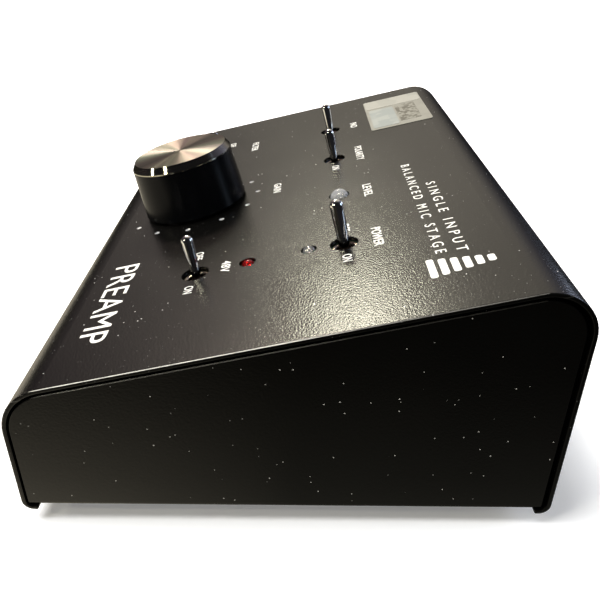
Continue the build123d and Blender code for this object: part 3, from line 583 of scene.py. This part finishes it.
toggle_states("phantom", (51.7, -22.5), (35.2, -22.3))
control_name("48v", "48V", (43.7, -14.8), 5.4)
toggle_states("power", (51.7, 12.8), (36.2, 13.2))
control_name("power", "POWER", (44.2, 20.0), 9.4)
control_name("level", "LEVEL", (15.6, 20.3), 8.2)
toggle_states("polarity", (-6.9, 13.0), (-22.6, 13.0))
control_name("polarity", "POLARITY", (-15.5, 20.5), 12.6)
toggle_states("pad", (-37.2, 13.0), (-53.0, 13.0))
control_name("pad", "PAD", (-45.8, 20.9), 5.4)
toggle_states("filter", (-37.2, -22.0), (-54.4, -22.0))
control_name("filter", "FILTER", (-46.5, -13.4), 9.0)
control_name("gain", "GAIN", (-0.4, -4.1), 6.8)
lettering("title", "PREAMP", (49.4, -41.0), 34.8, 6.2, weight=0.0)
lettering("descriptor_upper", "SINGLE INPUT", (39.0, 35.8), 39.4, 2.3, weight=0.0, spacing=1.7)
lettering("descriptor_lower", "BALANCED MIC STAGE", (30.6, 31.6), 54.6, 2.3, weight=0.0, spacing=1.7)


# ---------------------------------------------------------------- level symbol, scale and label

def level_symbol(made):
    """Plain stack of level bars, each longer than the one above."""
    x, top_v, pitch, bar_height, corner = 63.7, 40.2, 2.3, 1.45, 0.5
    shortest, growth = 2.6, 0.98
    for step in range(6):
        width = shortest + growth * step
        rounded_bar(made, x, top_v - pitch * step, width, bar_height, -INK_SINK, INK_THICKNESS, corner)


def scale_dimples(made):
    """Bright bowls where a drill cut the scale's dimples through the paint, each with a pinhole."""
    inward, outward, steps, pinhole = 0.03, 0.02, 6, 0.03
    ball = (DOT_RADIUS ** 2 + DOT_DEPTH ** 2) / (2 * DOT_DEPTH)
    rim_angle = math.asin(DOT_RADIUS / ball)
    down = [rim_angle * (1 - (1 - pinhole) * k / steps) for k in range(steps + 1)]
    profile = []
    for radius, angles in ((ball - inward, down), (ball + outward, down[::-1])):
        profile += [(radius * math.sin(a), ball - DOT_DEPTH - radius * math.cos(a)) for a in angles]
    for dot in range(DOTS):
        angle = math.radians(FIRST_DOT_ANGLE + DOT_ANGLE_STEP * dot)
        x, v = KNOB_X + DOT_CIRCLE * math.cos(angle), KNOB_V + DOT_CIRCLE * math.sin(angle)
        turned(made, profile, x, v)


add_piece("level_symbol", mesh_from("level_symbol", level_symbol), white_ink)
add_piece("scale_dimples", mesh_from("scale_dimples", scale_dimples), dimple_metal)

label_low, label_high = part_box("serial_label")
label_middle = panel_frame.inverted() @ ((label_low + label_high) / 2) / MM
field_low, field_high = LABEL_THICKNESS - 0.02, LABEL_THICKNESS + 0.06

# name, middle from the label's middle, width, height, corner, print
label_fields = [
    ("label_header", (-12.4, 0.0), 10.4, 19.2, 1.4, header_print),
    ("label_blank", (5.4, -4.7), 21.6, 8.4, 0.8, pale_print),
    ("label_grid", (4.2, 3.5), 19.2, 6.8, 0.5, grid_print),
]
for name, (dx, dv), width, height, corner, material in label_fields:
    x, v = label_middle.x + dx, label_middle.y + dv
    field = mesh_from(name, rounded_bar, x, v, width, height, field_low, field_high, corner)
    add_piece(name, field, material)


# ---------------------------------------------------------------- lamp frames

def lamp_frame(made, x, v, top, radius):
    """Reflector cup on its post and the second post, seen through a lamp's epoxy."""
    near_axis = 0.03
    cup = radius * 0.34
    rim = top - radius * 0.95
    foot = rim - radius * 1.6
    cup_and_post = [
        (near_axis, rim - cup * 0.55), (cup * 0.45, rim - cup * 0.5), (cup, rim), (cup * 1.15, rim),
        (cup * 0.8, rim - cup * 1.1), (cup * 0.4, foot), (near_axis, foot),
    ]
    post = cup * 0.35
    second_post = [(near_axis, rim - 0.1), (post, rim - 0.15), (post, foot), (near_axis, foot)]
    turned(made, cup_and_post, x - radius * 0.18, v, 16)
    turned(made, second_post, x + radius * 0.52, v, 12)


for lamp, sizes in LAMPS.items():
    name = f"{lamp}_lamp_frame"
    add_piece(name, mesh_from(name, lamp_frame, *sizes), reflector_metal)


# ---------------------------------------------------------------- floor, lights, camera

def add_floor():
    """Plain pale floor: white to the camera, and dim where the object reflects it."""
    half = 8.0
    corners = [(-half, -half, 0), (half, -half, 0), (half, half, 0), (-half, half, 0)]
    mesh = bpy.data.meshes.new("floor")
    mesh.from_pydata(corners, [], [(0, 1, 2, 3)])
    floor = new_object("floor", mesh)
    material, tree, shader = new_material("pale_floor")
    shader.inputs["Base Color"].default_value = (0.94, 0.94, 0.95, 1.0)
    shader.inputs["Roughness"].default_value = 0.9
    shader.inputs["Specular IOR Level"].default_value = 0.1
    shader.inputs["Emission Color"].default_value = (1.0, 1.0, 1.0, 1.0)
    shader.inputs["Emission Strength"].default_value = 0.18

    # the reflected floor: warm in front, dark behind, brightest beside the case's ends
    split = tree.nodes.new("ShaderNodeSeparateXYZ")
    tree.links.new(object_coords(tree), split.inputs["Vector"])
    glow = ramp_along(tree, split.outputs["Y"], [
        (-150, (1.0, 0.90, 0.70)), (-70, (0.52, 0.47, 0.36)), (0, (0.10, 0.095, 0.075)), (150, 0.04),
    ])
    outward = math_node(tree, "ABSOLUTE", split.outputs["X"])
    nearness = ramp_along(tree, outward, [
        (78, 1.0), (82, 1.9), (92, 1.2), (110, 0.7), (136, 0.22), (180, 0.02),
    ])
    dim = tree.nodes.new("ShaderNodeEmission")
    tree.links.new(nearness, dim.inputs["Strength"])
    tree.links.new(glow, dim.inputs["Color"])
    surface = seen_or_reflected(tree, shader.outputs["BSDF"], dim.outputs["Emission"])
    tree.links.new(surface, tree.nodes["Material Output"].inputs["Surface"])
    mesh.materials.append(material)


def add_world():
    """White to the camera; to the object, a pale warm wall on its left and a dim room elsewhere."""
    dark_room = (0.012, 0.012, 0.014)
    world = bpy.data.worlds.new("studio")
    bpy.context.scene.world = world
    world.use_nodes = True
    tree = world.node_tree
    split = tree.nodes.new("ShaderNodeSeparateXYZ")
    tree.links.new(node(tree, "ShaderNodeTexCoord").outputs["Generated"], split.inputs["Vector"])
    leftward = math_node(tree, "MULTIPLY_ADD", split.outputs["X"], -0.5, 0.5)
    rearward = math_node(tree, "MULTIPLY_ADD", split.outputs["Y"], 0.5, 0.5)
    wall = ramp(tree, leftward, [(0.45, 0.0), (0.85, 0.80), (1.0, 1.0)])
    height = ramp(tree, split.outputs["Z"], [
        (0.0, 0.03), (0.14, 0.12), (0.24, 0.42), (0.4, 0.78), (0.55, 1.0), (1.0, 0.8),
    ])
    tint = ramp(tree, rearward, [
        (0.18, (0.18, 0.12, 0.15)), (0.34, (0.80, 0.71, 0.64)), (0.45, (0.95, 0.86, 0.72)),
        (0.63, (0.95, 0.86, 0.73)), (0.78, (0.26, 0.26, 0.38)), (1.0, (0.03, 0.04, 0.09)),
    ])
    room = tree.nodes["Background"]
    tree.links.new(mix_colour(tree, product(tree, wall, height), dark_room, tint), room.inputs["Color"])
    white = node(tree, "ShaderNodeBackground", Color=(1.0, 1.0, 1.0, 1.0), Strength=1.0)
    surface = seen_or_reflected(tree, white.outputs["Background"], room.outputs["Background"])
    tree.links.new(surface, tree.nodes["World Output"].inputs["Surface"])


def add_light(name, place, target, size, power, colour=(1, 1, 1), height=None):
    """Soft rectangular light at place, facing target: size in metres, power in watts."""
    data = bpy.data.lights.new(name, "AREA")
    data.shape = "RECTANGLE"
    data.size = size
    data.size_y = height or size
    data.energy = power
    data.color = colour
    light = new_object(name, data)
    light.location = place
    light.rotation_euler = (Vector(target) - Vector(place)).to_track_quat("-Z", "Y").to_euler()
    return light


def add_sky_light(name, direction, strength, angle):
    """Even white light from far off in a direction, soft by its angle in degrees."""
    data = bpy.data.lights.new(name, "SUN")
    data.energy = strength
    data.angle = math.radians(angle)
    light = new_object(name, data)
    light.rotation_euler = (-Vector(direction)).to_track_quat("-Z", "Y").to_euler()
    return light


# millimetres from the middle of the cover's underside, degrees, and millimetres of lens
CAMERA_FROM_CASE = Vector((177.62, 2.07, 107.39))
CAMERA_PITCH, CAMERA_YAW, CAMERA_ROLL = 30.02, 0.05, 0.47
LENS, SENSOR, SHIFT_X, SHIFT_Y = 39.67, 36.0, 0.0042, 0.0016


def add_camera():
    """Camera off the right end, looking along -X and down, a little rolled."""
    pitch, yaw, roll = (math.radians(a) for a in (CAMERA_PITCH, CAMERA_YAW, CAMERA_ROLL))
    ahead = Vector((-math.cos(yaw) * math.cos(pitch), -math.sin(yaw) * math.cos(pitch), -math.sin(pitch)))
    right = Vector((-math.sin(yaw), math.cos(yaw), 0))
    above = right.cross(ahead)
    right, above = (
        math.cos(roll) * right + math.sin(roll) * above,
        -math.sin(roll) * right + math.cos(roll) * above,
    )
    data = bpy.data.cameras.new("camera")
    data.sensor_width = SENSOR
    data.lens = LENS
    data.shift_x = SHIFT_X
    data.shift_y = SHIFT_Y
    data.clip_start = 0.005
    camera = new_object("camera", data)
    turn = Matrix((right, above, -ahead)).transposed().to_4x4()
    origin = Vector((0, case_middle.y, cover_low.z)) + CAMERA_FROM_CASE * MM
    camera.matrix_world = Matrix.Translation(origin) @ turn
    bpy.context.scene.camera = camera


add_floor()
add_world()
add_camera()

# soft light that brightens the surfaces and leaves no highlight
overhead = add_sky_light("overhead", (-0.05, -0.50, 1.0), 4.6, 40.0)
side_fill = add_light("side_fill", (0.80, -0.12, 0.12), (0.08, 0.0, 0.03), 0.3, 2.2, (1.0, 0.97, 0.90))
rear_fill = add_light("rear_fill", (-0.1, 0.9, 0.3), (0.0, 0.06, 0.03), 0.4, 3.0)
for light in (overhead, side_fill, rear_fill):
    light.visible_glossy = False

# window glare on the panel, and cool light on the levers and the rear bend
add_light("window", (-0.73, -0.155, 0.62), (0.067, 0.008, 0.047), 0.12, 2.3, (1.0, 0.96, 0.76))
add_light("cool_side", (-0.60, 0.76, 0.30), (0.02, 0.0, 0.05), 0.30, 1.1, (0.72, 0.80, 1.0))
add_light("cool_strip", (0.06, 0.62, 0.36), (0.04, 0.0, 0.05), 0.10, 0.6, (0.62, 0.78, 1.0), 0.3)

# lamps that the knob's cap spreads into bright sectors
amber, peach = (1.0, 0.95, 0.72), (1.0, 0.80, 0.68)
add_light("ceiling", knob_top + Vector((-0.60, -0.27, 0.75)) * 0.9, knob_top, 0.12, 2.6, peach)
add_light("lamp_near", knob_top + Vector((0.501, -0.628, 0.586)) * 0.8, knob_top, 0.06, 0.8, amber)
add_light("lamp_far", knob_top + Vector((0.176, -0.907, 0.373)) * 0.8, knob_top, 0.06, 0.8, amber)

bpy.context.scene.view_settings.view_transform = "Standard"
